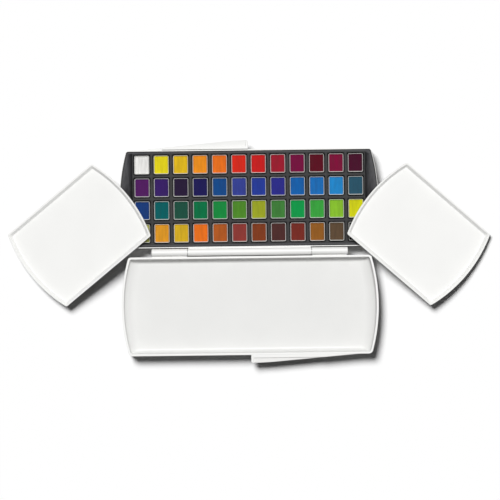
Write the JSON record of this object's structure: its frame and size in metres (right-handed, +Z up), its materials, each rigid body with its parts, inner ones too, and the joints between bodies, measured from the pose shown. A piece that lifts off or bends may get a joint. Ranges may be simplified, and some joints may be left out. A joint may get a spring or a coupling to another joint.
{
  "type": "watercolor paint box",
  "caption": "White plastic paint box lying open: barrel-hinged lid, black tray of half pans in many colours, and loose mixing palettes leaning on its ends.",
  "frame": {"origin": "middle of the bounding box at table level, straight below the hinge axis", "axes": "+X along the hinge towards the lid's tab end, +Y from the hinge across the base with the paints, +Z up"},
  "size_m": [0.4834, 0.2228, 0.0218],
  "materials": {
    "case_plastic": "moulded white, satin",
    "palette_plastic": "moulded white, smooth",
    "tray_plastic": "moulded black, finely grained",
    "pan_plastic": "moulded white",
    "pin_steel": "drawn wire",
    "paint_opaque_white": "dry watercolour cake",
    "paint_lemon_yellow": "dry watercolour cake",
    "paint_warm_yellow": "dry watercolour cake",
    "paint_yellow_orange": "dry watercolour cake",
    "paint_bright_orange": "dry watercolour cake",
    "paint_vermilion": "dry watercolour cake",
    "paint_scarlet": "dry watercolour cake",
    "paint_crimson": "dry watercolour cake",
    "paint_magenta_lake": "dry watercolour cake",
    "paint_madder_lake": "dry watercolour cake",
    "paint_rose_magenta": "dry watercolour cake",
    "paint_plum": "dry watercolour cake",
    "paint_purple_lake": "dry watercolour cake",
    "paint_deep_violet": "dry watercolour cake",
    "paint_aubergine": "dry watercolour cake",
    "paint_indigo": "dry watercolour cake",
    "paint_prussian_blue": "dry watercolour cake",
    "paint_cobalt_blue": "dry watercolour cake",
    "paint_ultramarine": "dry watercolour cake",
    "paint_ultramarine_deep": "dry watercolour cake",
    "paint_cerulean_blue": "dry watercolour cake",
    "paint_azure_blue": "dry watercolour cake",
    "paint_sky_blue": "dry watercolour cake",
    "paint_slate_teal": "dry watercolour cake",
    "paint_marine_blue": "dry watercolour cake",
    "paint_turquoise": "dry watercolour cake",
    "paint_forest_green": "dry watercolour cake",
    "paint_deep_green": "dry watercolour cake",
    "paint_bright_green": "dry watercolour cake",
    "paint_leaf_green": "dry watercolour cake",
    "paint_olive_yellow": "dry watercolour cake",
    "paint_sap_green": "dry watercolour cake",
    "paint_emerald_green": "dry watercolour cake",
    "paint_spring_green": "dry watercolour cake",
    "paint_lime_green": "dry watercolour cake",
    "paint_yellow_green": "dry watercolour cake",
    "paint_pale_olive": "dry watercolour cake",
    "paint_gold_ochre": "dry watercolour cake",
    "paint_yellow_ochre": "dry watercolour cake",
    "paint_burnt_orange": "dry watercolour cake",
    "paint_raw_sienna": "dry watercolour cake",
    "paint_english_red": "dry watercolour cake",
    "paint_burnt_sienna": "dry watercolour cake",
    "paint_dark_umber": "dry watercolour cake",
    "paint_venetian_red": "dry watercolour cake",
    "paint_golden_brown": "dry watercolour cake",
    "paint_raw_umber": "dry watercolour cake",
    "paint_ivory_black": "dry watercolour cake"
  },
  "bodies": {
    "base": {"base_case": "case_plastic", "pan_tray": "tray_plastic", "hinge_pin_left": "pin_steel", "hinge_pin_right": "pin_steel", "half_pan_opaque_white": "paint_opaque_white", "half_pan_lemon_yellow": "paint_lemon_yellow", "half_pan_warm_yellow": "paint_warm_yellow", "half_pan_yellow_orange": "paint_yellow_orange", "half_pan_bright_orange": "paint_bright_orange", "half_pan_vermilion": "paint_vermilion", "half_pan_scarlet": "paint_scarlet", "half_pan_crimson": "paint_crimson", "half_pan_magenta_lake": "paint_magenta_lake", "half_pan_madder_lake": "paint_madder_lake", "half_pan_rose_magenta": "paint_rose_magenta", "half_pan_plum": "paint_plum", "half_pan_purple_lake": "paint_purple_lake", "half_pan_deep_violet": "paint_deep_violet", "half_pan_aubergine": "paint_aubergine", "half_pan_indigo": "paint_indigo", "half_pan_prussian_blue": "paint_prussian_blue", "half_pan_cobalt_blue": "paint_cobalt_blue", "half_pan_ultramarine": "paint_ultramarine", "half_pan_ultramarine_deep": "paint_ultramarine_deep", "half_pan_cerulean_blue": "paint_cerulean_blue", "half_pan_azure_blue": "paint_azure_blue", "half_pan_sky_blue": "paint_sky_blue", "half_pan_slate_teal": "paint_slate_teal", "half_pan_marine_blue": "paint_marine_blue", "half_pan_turquoise": "paint_turquoise", "half_pan_forest_green": "paint_forest_green", "half_pan_deep_green": "paint_deep_green", "half_pan_bright_green": "paint_bright_green", "half_pan_leaf_green": "paint_leaf_green", "half_pan_olive_yellow": "paint_olive_yellow", "half_pan_sap_green": "paint_sap_green", "half_pan_emerald_green": "paint_emerald_green", "half_pan_spring_green": "paint_spring_green", "half_pan_lime_green": "paint_lime_green", "half_pan_yellow_green": "paint_yellow_green", "half_pan_pale_olive": "paint_pale_olive", "half_pan_gold_ochre": "paint_gold_ochre", "half_pan_yellow_ochre": "paint_yellow_ochre", "half_pan_burnt_orange": "paint_burnt_orange", "half_pan_raw_sienna": "paint_raw_sienna", "half_pan_english_red": "paint_english_red", "half_pan_burnt_sienna": "paint_burnt_sienna", "half_pan_dark_umber": "paint_dark_umber", "half_pan_venetian_red": "paint_venetian_red", "half_pan_golden_brown": "paint_golden_brown", "half_pan_raw_umber": "paint_raw_umber", "half_pan_ivory_black": "paint_ivory_black"},
    "lid": {"lid_case": "case_plastic"},
    "palette_left": {"palette_left": "palette_plastic"},
    "palette_right": {"palette_right": "palette_plastic"}
  },
  "joints": [
    {"name": "lid_hinge", "type": "hinge", "parent": "base", "child": "lid", "pos_m": [0, 0, 0.01335], "axis": [-1, 0, 0], "range_deg": [0, 180]},
    {"name": "palette_left_lift", "type": "slide", "parent": "base", "child": "palette_left", "axis": [-0.866, 0, 0.5], "range_m": [0, 0.06]},
    {"name": "palette_right_lift", "type": "slide", "parent": "base", "child": "palette_right", "axis": [0.866, 0, 0.5], "range_m": [0, 0.06]}
  ],
  "couplings": [
    {"joint": "palette_left_lift", "follows": "lid_hinge", "m_per_rad": 0.01909},
    {"joint": "palette_right_lift", "follows": "lid_hinge", "m_per_rad": 0.01909}
  ]
}
